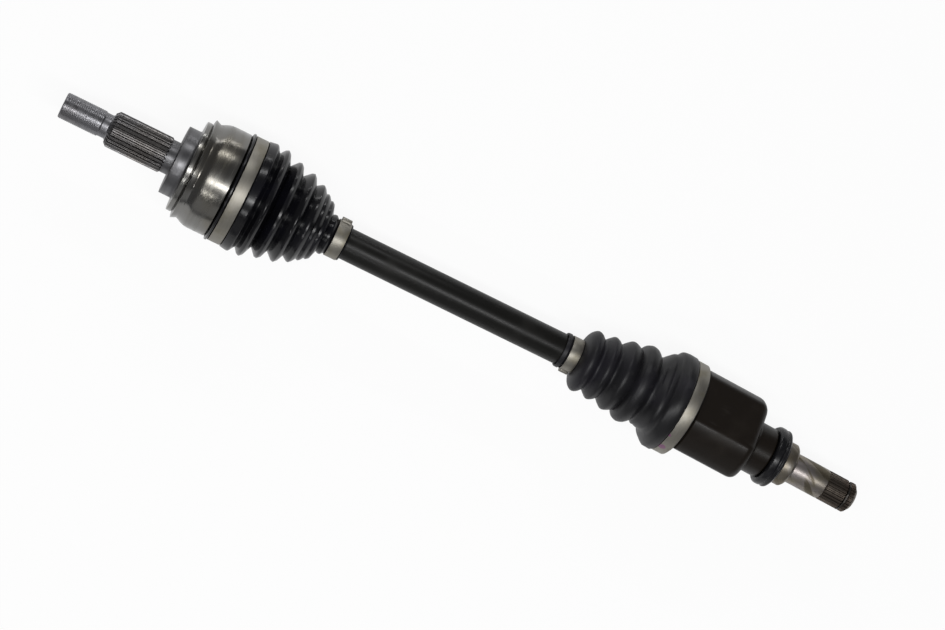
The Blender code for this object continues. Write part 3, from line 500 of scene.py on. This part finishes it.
softened(walled(wheel_boot, 1.2), 0.7, segments=3)
for piece in (wheel_boot_collar, wheel_boot):
    shaded(piece, BOOT_PLASTIC, angle=40)
    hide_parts("outer_boot")
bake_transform(wheel_boot)
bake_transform(wheel_boot_collar)


# ---- Outer boot's clamps -----------------------------------------------------------------------------------
# Each clamp is a band of brushed stainless strip, wrapped round with its end lapped over, and drawn tight by
# a pinched ear. The large one holds the boot on the bell's seat and the small one in the bar's groove.

STRIP_THICKNESS = 0.9
EAR_INSET = 0.9
EAR_BORE_GAP = 0.3
LAP_RISE = 0.1
LAP_SINK = -0.3
DAB_FADE = (1.9, 0.9)
DAB_RAGGED = 3.0
MARKER_DABS = {(180.4, -33.4, 20.4): 3.4, (178.9, -22.8, 31.7): 1.4}


def stainless():
    """Brushed strip with scratches round it and brown smears, and a marker's magenta dabs, {centre: size}."""
    strip = Finish("stainless_band")
    scratch = strip.noise(2600, (1.0, 0.03, 0.03), 4.0)
    smear = strip.band(strip.noise(70, detail=6.0), 0.48, 0.75)
    ragged = strip.noise(420, detail=4.0) * (DAB_RAGGED * MM)
    dab = 0.0
    for centre, size in MARKER_DABS.items():
        ends = {0: strip.place, 1: tuple(c * MM for c in centre)}
        far = strip.node("ShaderNodeVectorMath", {"operation": "DISTANCE"}, ends, out="Value")
        outside, inside = [(size + fade) * MM for fade in DAB_FADE]
        dab = strip.band(ragged + far, outside, inside) + dab
    colour = strip.mix(scratch, (0.21, 0.20, 0.175), (0.30, 0.285, 0.25))
    colour = strip.mix(smear * 0.6, colour, (0.19, 0.168, 0.11))
    colour = strip.mix(dab, colour, (0.17, 0.065, 0.135))
    rough = smear * 0.10 + scratch * 0.10 + 0.40
    brushing = strip.relief(scratch, 0.03 * MM, 0.5)
    return strip.wear(Base_Color=colour, Metallic=1 - dab, Roughness=rough, Normal=brushing)


STAINLESS = stainless()


def clamp(name, span, radius, half_lap, ear_angle, ear_width, ear_height):
    """A band of strip with a lapped end and a pinched ear at its middle, its angle from +Y towards +Z."""
    start, finish = span
    outer = radius + STRIP_THICKNESS
    band = turned(f"{name}_band", [
        (start, radius), (start, outer), (finish, outer), (finish, radius), (start, radius)
    ], steps=144)
    softened(band, 0.22)

    def ear_reach(angle, i):
        off = abs(math.remainder(angle - math.radians(ear_angle), math.tau))
        across = off * outer / ear_width
        lap = LAP_RISE if math.degrees(off) < half_lap else LAP_SINK
        arch = ear_height * math.sqrt(1.0 - across**4) if across < 1.0 else 0.0
        return outer + lap + arch

    ear = barred(f"{name}_ear", [(start + EAR_INSET, 1.0), (finish - EAR_INSET, 1.0)], 288, ear_reach)
    inner = radius + EAR_BORE_GAP
    bore = turned(f"{name}_bore", [
        (start - 1, 0.0), (start - 1, inner), (finish + 1, inner), (finish + 1, 0.0)
    ], steps=144)
    carved(ear, [bore])
    softened(ear, 0.25)
    for piece in (band, ear):
        shaded(piece, STAINLESS)
        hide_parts(name)
    return [band, ear]


large_clamp = clamp(
    "outer_boot_large_clamp", (-202.8, -193.0), radius=42.5, half_lap=11.0,
    ear_angle=-52.0, ear_width=4.0, ear_height=2.2,
)
for piece in large_clamp:
    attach(piece, "bell")
small_clamp = clamp(
    "outer_boot_small_clamp", (-118.6, -108.9), radius=14.4, half_lap=24.0,
    ear_angle=12.0, ear_width=3.2, ear_height=2.4,
)
for piece in small_clamp:
    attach(piece, "shaft")


# ---- Spider, rollers and needles ---------------------------------------------------------------------------
# The tripod's spider is splined to the bar inside the housing. Each of its three ground trunnions carries a
# barrel roller on needles, kept by a washer and a clip. The housing hides them, so they keep their shapes.

dress(["spider"], HARDENED_STEEL)
for part in ("roller", "needle_set", "roller_washer"):
    dress([f"{part}_{i}" for i in range(1, 4)], BEARING_STEEL)


# ---- Tripod housing ----------------------------------------------------------------------------------------
# The housing is one forging: three lobes with flats between them, a stepped seat for the boot, a neck, a
# ground journal and a splined stub. The body and neck are painted black, and the journal and stub are bare.

TRIPOD_X = 188.4
REST_BEND = math.radians(-2.1)
LOBE_TURN = math.tau / 3
HOUSING_LOBE = 36.7
HOUSING_FLAT = 30.6
HOUSING_END = 246.0
HOUSING_CORNER = 8.0
SEAT_LOBE = 35.2
SEAT_FLAT = 29.8
CAVITY_BORE = 20.5
CAVITY_REACH = 31.0
ROLLER_PITCH = 21.0
ROLLER_TRACK = 15.9
STUB_RADIUS = 12.4
STUB_SPLINE_ROOT = 11.3
STREAK_TWIST = -60.0


def lobed(lobe, flat, fillet=1.6):
    """The reach of three lobes with flats between them, whose corners are rounded."""
    def reach(angle, i):
        off = abs(math.remainder(angle, LOBE_TURN))
        side = flat / math.cos(LOBE_TURN / 2 - off)
        near = max(0.0, 1.0 - abs(lobe - side) / fillet)
        return min(lobe, side) - fillet * near**2 / 4
    return reach


def leaned(piece, share=lambda x: 1.0):
    """Turn a piece about the tripod's centre by the bend that the joint rests at, or by a share of it."""
    centre = Vector((TRIPOD_X * MM, 0.0, 0.0))
    for vertex in piece.data.vertices:
        turn = Matrix.Rotation(REST_BEND * share(vertex.co.x / MM), 3, "Z")
        vertex.co = centre + turn @ (vertex.co - centre)
    return piece


HOUSING_PAINT = painted_black("housing_paint", (0.009, 0.0065, 0.0045), (0.022, 0.017, 0.012))
body_stations = [(190.6, 0.965), (191.0, 0.985), (191.8, 1.0)]
for step in range(13):
    angle = math.radians(7.5 * step)
    narrowed = 1 - HOUSING_CORNER / HOUSING_LOBE * (1 - math.cos(angle))
    body_stations.append((HOUSING_END - HOUSING_CORNER * (1 - math.sin(angle)), narrowed))
housing = barred("housing", body_stations, 240, lobed(HOUSING_LOBE, HOUSING_FLAT))
seat_stations = [(170.4, 0.975), (170.8, 0.993), (171.4, 1.0), (194.6, 1.0)]
seat = barred("boot_seat", seat_stations, 240, lobed(SEAT_LOBE, SEAT_FLAT))


def tracks(angle, i):
    """The reach of the housing's cavity: a central bore with three roller tracks."""
    off = math.remainder(angle, LOBE_TURN)
    across = ROLLER_PITCH * math.sin(off)
    half = math.sqrt(max(0.0, ROLLER_TRACK**2 - across**2))
    return max(CAVITY_BORE, min(CAVITY_REACH, ROLLER_PITCH * math.cos(off) + half))


cavity = barred("cavity", [(169.0, 1.05), (172.0, 1.0), (239.2, 1.0)], 120, tracks)
carved(housing, [seat], "UNION")
carved(housing, [cavity])
shaded(housing, HOUSING_PAINT, angle=28)

neck = turned("neck", [
    (242.8, 0.0), (242.8, 24.4), (245.8, 23.6), (246.6, 21.9), (248.6, 20.7), (262.4, 20.7), (263.4, 20.1),
    (263.4, 18.2), (275.8, 18.2), (275.8, 0.0),
])
shaded(softened(neck, 0.4), HOUSING_PAINT)


def stub_steel(name, pale, stain, tint, streaks):
    """Bare turned steel with oily diagonal streaks that wind round it."""
    steel = Finish(name, Metallic=1.0)
    scratch = steel.noise(2400, (1.0, 0.03, 0.03), 4.0)
    twist = steel.node("ShaderNodeSeparateXYZ", None, {"Vector": steel.place}, out="X") * STREAK_TWIST
    turning = {"Vector": steel.place, "Angle": twist}
    wound = steel.node("ShaderNodeVectorRotate", {"rotation_type": "X_AXIS"}, turning)
    streak = steel.band(steel.noise(115, (0.10, 1.0, 1.0), 3.0, wound), 0.50, 0.57)
    blotch = steel.band(steel.noise(60, detail=4.0), 0.40, 0.68)
    colour = steel.mix(blotch * 0.6, pale, tint)
    colour = steel.mix(streak * streaks, colour, stain)
    rough = streak * 0.10 + scratch * 0.08 + 0.36
    grooves = steel.relief(scratch, 0.02 * MM, 0.3)
    return steel.wear(Base_Color=colour, Roughness=rough, Normal=grooves)


JOURNAL_STEEL = stub_steel(
    "journal_steel", (0.20, 0.188, 0.175), (0.12, 0.105, 0.075), (0.17, 0.14, 0.085), streaks=0.5
)
STUB_STEEL = stub_steel(
    "stub_steel", (0.27, 0.245, 0.235), (0.10, 0.085, 0.055), (0.23, 0.205, 0.13), streaks=0.8
)
STUB_SPLINE_STEEL = ground_steel(
    "stub_spline_steel", (0.085, 0.072, 0.060), (0.055, 0.045, 0.040), (0.075, 0.055, 0.045), roughness=0.44
)

journal = turned("journal", [
    (275.6, 0.0), (275.6, 17.9), (283.8, 17.9), (285.6, 16.1), (285.6, 13.2), (286.4, STUB_RADIUS),
    (287.4, STUB_RADIUS), (287.4, 0.0),
])
shaded(softened(journal, 0.4), JOURNAL_STEEL)
stub = turned("stub", [
    (286.0, 0.0), (286.0, STUB_RADIUS), (316.2, STUB_RADIUS), (317.8, 10.6), (334.3, 10.6), (334.6, 10.0),
    (336.4, 10.0), (336.7, 10.6), (340.8, 10.65), (343.2, 9.05), (343.2, 0.0),
])
shaded(softened(stub, 0.35), STUB_STEEL)
stub_splines = [
    splined("stub_spline", (317.0, 334.6), 26, STUB_SPLINE_ROOT, STUB_RADIUS, front=0.7, rear=0.7),
    splined("stub_spline_end", (336.4, 341.2), 26, STUB_SPLINE_ROOT, STUB_RADIUS, front=1.0, rear=1.0),
]
for piece in stub_splines:
    shaded(piece, STUB_SPLINE_STEEL, angle=20)
for piece in (housing, neck, journal, stub, *stub_splines):
    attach(leaned(piece), "tripod_housing")
    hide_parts("tripod_housing")
    "black_paint" if piece in (housing, neck) else "ground_steel"


# ---- Dust ring and stub circlip ----------------------------------------------------------------------------
# A rubber-coated ring with a smooth body and one ridge is pressed on the neck, beside the journal that the
# gearbox seal runs on. A round-wire ring near the stub's tip, in its frame shape, snaps into the side gear.

def boot_rubber(name, base, sheen_tint, roughness):
    """Rubber with a fine dull grain, duller patches whose violet tint is a painted sheen, and some grey dust.
    """
    rubber = Finish(name, Specular_IOR_Level=0.3)
    bloom = rubber.band(rubber.noise(30, detail=5.0), 0.40, 0.70)
    dust = rubber.band(rubber.noise(190, detail=8.0), 0.56, 0.80)
    # The violet tint mixed into the patches is painted sheen.
    colour = rubber.mix(bloom * 0.7, base, sheen_tint)
    colour = rubber.mix(dust * 0.25, colour, (0.034, 0.033, 0.034))
    rough = dust * 0.14 + bloom * 0.06 + roughness
    grain = rubber.relief(rubber.noise(1300, detail=2.0), 0.06 * MM, 0.35)
    return rubber.wear(Base_Color=colour, Roughness=rough, Normal=grain)


# The second colour is the violet tint of the painted sheen.
RING_RUBBER = boot_rubber("ring_rubber", (0.005, 0.005, 0.006), (0.008, 0.008, 0.010), roughness=0.26)
dust_ring = turned("seal_ring", [
    (263.8, 18.5), (263.8, 22.9), (265.2, 24.2), (266.6, 24.5), (269.4, 24.5), (270.5, 23.5), (271.3, 23.5),
    (272.4, 24.5), (273.6, 24.1), (275.2, 21.6), (275.5, 20.9), (275.5, 18.5), (263.8, 18.5),
])
shaded(softened(dust_ring, 0.6, segments=3), RING_RUBBER, angle=40)
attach(leaned(dust_ring), "tripod_housing")
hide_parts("dust_ring")
OILED_SPRING_STEEL = bright_steel("oiled_spring_steel", (0.07, 0.065, 0.06), 0.45)
dress(["stub_circlip"], OILED_SPRING_STEEL)


# ---- Inner boot --------------------------------------------------------------------------------------------
# The boot is soft matte rubber with rounded convolutions. Its wide collar is round outside and lobed inside,
# where it grips the housing. Like the outer one it is modelled as two lengths that meet in a valley.

BEND_START = 93.2
BEND_END = 164.4
SHOULDER_X = 164.0
SHOULDER_REACH = 10.5
SHOULDER_LOBE = 2.6
SHOULDER_BORE = 29.7
COLLAR_RADIUS = 40.1
COLLAR_SEAT_RADIUS = 37.9
COLLAR_BORE_RADIUS = 28.4
COLLAR_BORE_GAP = 0.3
INNER_VALLEY = (136.6, 26.2)
# The second colour is the violet tint of the painted sheen.
BOOT_RUBBER = boot_rubber("boot_rubber", (0.007, 0.007, 0.008), (0.011, 0.010, 0.015), roughness=0.40)
small_end = [(79.4, 13.9), (80.2, 14.3), (82.6, 14.3), (84.1, 12.8), (93.4, 12.8)]
shaft_waves = [
    (94.1, 16.4), (95.7, 21.0), (97.8, 23.9), (100.8, 25.6), (104.0, 24.6), (107.7, 21.7), (111.0, 24.2),
    (114.4, 26.7), (117.9, 25.6), (121.2, 23.5), (124.9, 26.6), (128.7, 29.3), (132.7, 28.4), INNER_VALLEY,
]
housing_waves = [
    INNER_VALLEY, (139.4, 30.6), (141.9, 32.1), (144.3, 32.7), (147.5, 32.0), (149.9, 30.5), (153.3, 27.8),
    (157.2, 29.8), (161.4, 32.4), (163.8, 33.0), (165.6, 34.5), (166.6, 36.3), (167.8, 37.7), (170.4, 39.2),
    (172.6, COLLAR_RADIUS),
]
collar = [
    (178.0, COLLAR_RADIUS), (178.9, 39.4), (179.3, COLLAR_SEAT_RADIUS), (189.4, COLLAR_SEAT_RADIUS),
    (190.1, 37.0), (190.1, COLLAR_BORE_RADIUS), (169.0, COLLAR_BORE_RADIUS), (163.8, 28.6), (160.0, 28.0),
    (152.6, 25.6), (143.8, 30.3), (136.6, 25.2), INNER_VALLEY,
]


def flowing(points, parts=5):
    """A smooth curve through the points of a profile, so many parts from each to the next."""
    curve = []
    for i in range(len(points) - 1):
        first, second, third = points[max(i - 1, 0)], points[i], points[i + 1]
        fourth = points[min(i + 2, len(points) - 1)]
        for k in range(parts):
            t = k / parts
            curve.append(tuple(
                0.5 * (
                    2 * b + (c - a) * t + (2 * a - 5 * b + 4 * c - d) * t**2 + (3 * b - a - 3 * c + d) * t**3
                )
                for a, b, c, d in zip(first, second, third, fourth)
            ))
    return curve + [points[-1]]


def bend_share(x):
    """How much of the rest bend the boot has at a place along the bar."""
    t = min(1.0, max(0.0, (x - BEND_START) / (BEND_END - BEND_START)))
    return t * t * (3 - 2 * t)


def pinched(piece):
    """Draw the collar's shoulder in over the housing's flats and out over its lobes."""
    for vertex in piece.data.vertices:
        x = vertex.co.x / MM
        radius = math.hypot(vertex.co.y, vertex.co.z)
        near = max(0.0, 1.0 - abs(x - SHOULDER_X) / SHOULDER_REACH)
        if near > 0.0 and radius > SHOULDER_BORE * MM:
            deep = SHOULDER_LOBE * near * near * (3 - 2 * near) * MM
            scale = 1.0 + deep * math.cos(3 * math.atan2(vertex.co.z, vertex.co.y)) / radius
            vertex.co.y *= scale
            vertex.co.z *= scale
    return piece


gearbox_boot = walled(turned("gearbox_boot", small_end + flowing(shaft_waves), steps=144), 1.3)
gearbox_boot_collar = pinched(turned("gearbox_boot_collar", flowing(housing_waves) + collar, steps=144))
seat_room = lobed(SEAT_LOBE + COLLAR_BORE_GAP, SEAT_FLAT + COLLAR_BORE_GAP)
collar_bore = barred("collar_bore", [(170.1, 1.0), (191.5, 1.0)], 240, seat_room)
carved(gearbox_boot_collar, [collar_bore])
for piece in (gearbox_boot, gearbox_boot_collar):
    shaded(leaned(piece, bend_share), BOOT_RUBBER, angle=40)
    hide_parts("inner_boot")
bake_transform(gearbox_boot)
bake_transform(gearbox_boot_collar)


# ---- Inner boot's clamps -----------------------------------------------------------------------------------
# Bands of the same strip hold the boot's small end on the bar and its collar on the housing. The assembler's
# marker has left its dabs on the large one.

small_clamp = clamp(
    "inner_boot_small_clamp", (84.4, 93.2), radius=13.1, half_lap=24.0,
    ear_angle=184.0, ear_width=3.0, ear_height=2.0,
)
for piece in small_clamp:
    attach(piece, "shaft")
large_clamp = clamp(
    "inner_boot_large_clamp", (179.6, 188.9), radius=38.2, half_lap=11.0,
    ear_angle=-128.0, ear_width=4.0, ear_height=2.2,
)
for piece in large_clamp:
    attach(leaned(piece), "tripod_housing")


# ---- Floor -------------------------------------------------------------------------------------------------
# A plain white table that keeps the axle's soft shadow. The camera sees it shine nearly white, and gloss and
# glass see it shine at about a third of that.

FLOOR_DEPTH = 0.0452
FLOOR_SIZE = 12.0
SEEN_BY_CAMERA = 0.92
SEEN_IN_GLOSS = 0.35
table = Finish("white_table", Base_Color=(0.90, 0.90, 0.90), Roughness=0.9, Specular_IOR_Level=0.0)
bpy.ops.mesh.primitive_plane_add(size=FLOOR_SIZE, location=(0.0, 0.0, -FLOOR_DEPTH))
floor = bpy.context.object
floor.name = "floor"
floor.data.materials.append(table.material)
kinds = ("Camera", "Glossy", "Transmission")
rays = [table.node("ShaderNodeLightPath", out=f"Is {kind} Ray") for kind in kinds]
white = table.node("ShaderNodeEmission", None, {"Color": (1.0, 1.0, 1.0)})
lit = Reading(table, table.shader.outputs["BSDF"])
seen_white = rays[0] * SEEN_BY_CAMERA + (rays[1] + rays[2]) * SEEN_IN_GLOSS
mixed = table.node("ShaderNodeMixShader", None, {0: seen_white, 1: lit, 2: white})
table.put(table.tree.nodes["Material Output"].inputs["Surface"], mixed)


# ---- Light -------------------------------------------------------------------------------------------------
# Long tubes run parallel to the axle, as in a photographer's tent, three of them beside its wheel end alone.
# A dim room fills in between them.

ROOM_COLOUR = (0.14, 0.14, 0.145)


def tube(name, turn, distance, span, width, power):
    """A tube parallel to X over a span of it, so many degrees from overhead towards +Y, facing the axle."""
    angle = math.radians(turn)
    place = ((span[0] + span[1]) / 2, distance * math.sin(angle), distance * math.cos(angle))
    bpy.ops.object.light_add(type="AREA", location=place, rotation=(-angle, 0.0, 0.0))
    lamp = bpy.context.object
    lamp.name = name
    lamp.data.shape = "RECTANGLE"
    lamp.data.size = span[1] - span[0]
    lamp.data.size_y = width
    lamp.data.energy = power
    lamp.visible_camera = False


tube("side_tube", turn=92.0, distance=1.6, span=(-1.2, 0.0), width=0.09, power=5.0)
tube("key_tube", turn=57.0, distance=1.9, span=(-1.2, 0.0), width=0.09, power=6.0)
tube("top_tube", turn=-8.0, distance=2.3, span=(-1.3, 1.3), width=0.26, power=35.0)
tube("low_tube", turn=-34.0, distance=2.0, span=(-1.2, 0.0), width=0.08, power=4.5)
tube("fill_tube", turn=-66.0, distance=1.8, span=(-1.2, 1.2), width=1.0, power=2.2)
room = bpy.data.worlds.new("room")
bpy.context.scene.world = room
room.use_nodes = True
room.node_tree.nodes["Background"].inputs["Color"].default_value = (*ROOM_COLOUR, 1.0)


# ---- Camera ------------------------------------------------------------------------------------------------
# The camera looks down on the axle from nearly two metres, moved 9.5 degrees towards the wheel end and rolled
# so that the axle runs from the upper left to the lower right.

VIEW_CENTRE = Vector((0.0054, 0.0, 0.0))
VIEW_DISTANCE = 1.923
VIEW_SIDE = math.radians(9.5)
VIEW_ROLL = math.radians(26.12)
VIEW_DROP = 0.00647
FOCAL_PIXELS = 2500.0
IMAGE_WIDTH = 945.0
SENSOR_WIDTH = 36.0

level_right = Vector((math.cos(VIEW_SIDE), 0.0, math.sin(VIEW_SIDE)))
level_up = Vector((0.0, 1.0, 0.0))
back = Vector((-math.sin(VIEW_SIDE), 0.0, math.cos(VIEW_SIDE)))
right = math.cos(VIEW_ROLL) * level_right + math.sin(VIEW_ROLL) * level_up
up = math.cos(VIEW_ROLL) * level_up - math.sin(VIEW_ROLL) * level_right
bpy.ops.object.camera_add()
camera = bpy.context.object
camera.matrix_world = (
    Matrix.Translation(VIEW_CENTRE + VIEW_DISTANCE * back - VIEW_DROP * level_up)
    @ Matrix((right, up, back)).transposed().to_4x4()
)
camera.data.sensor_width = SENSOR_WIDTH
camera.data.lens = FOCAL_PIXELS / IMAGE_WIDTH * SENSOR_WIDTH
bpy.context.scene.camera = camera
bpy.context.scene.view_settings.view_transform = "Standard"
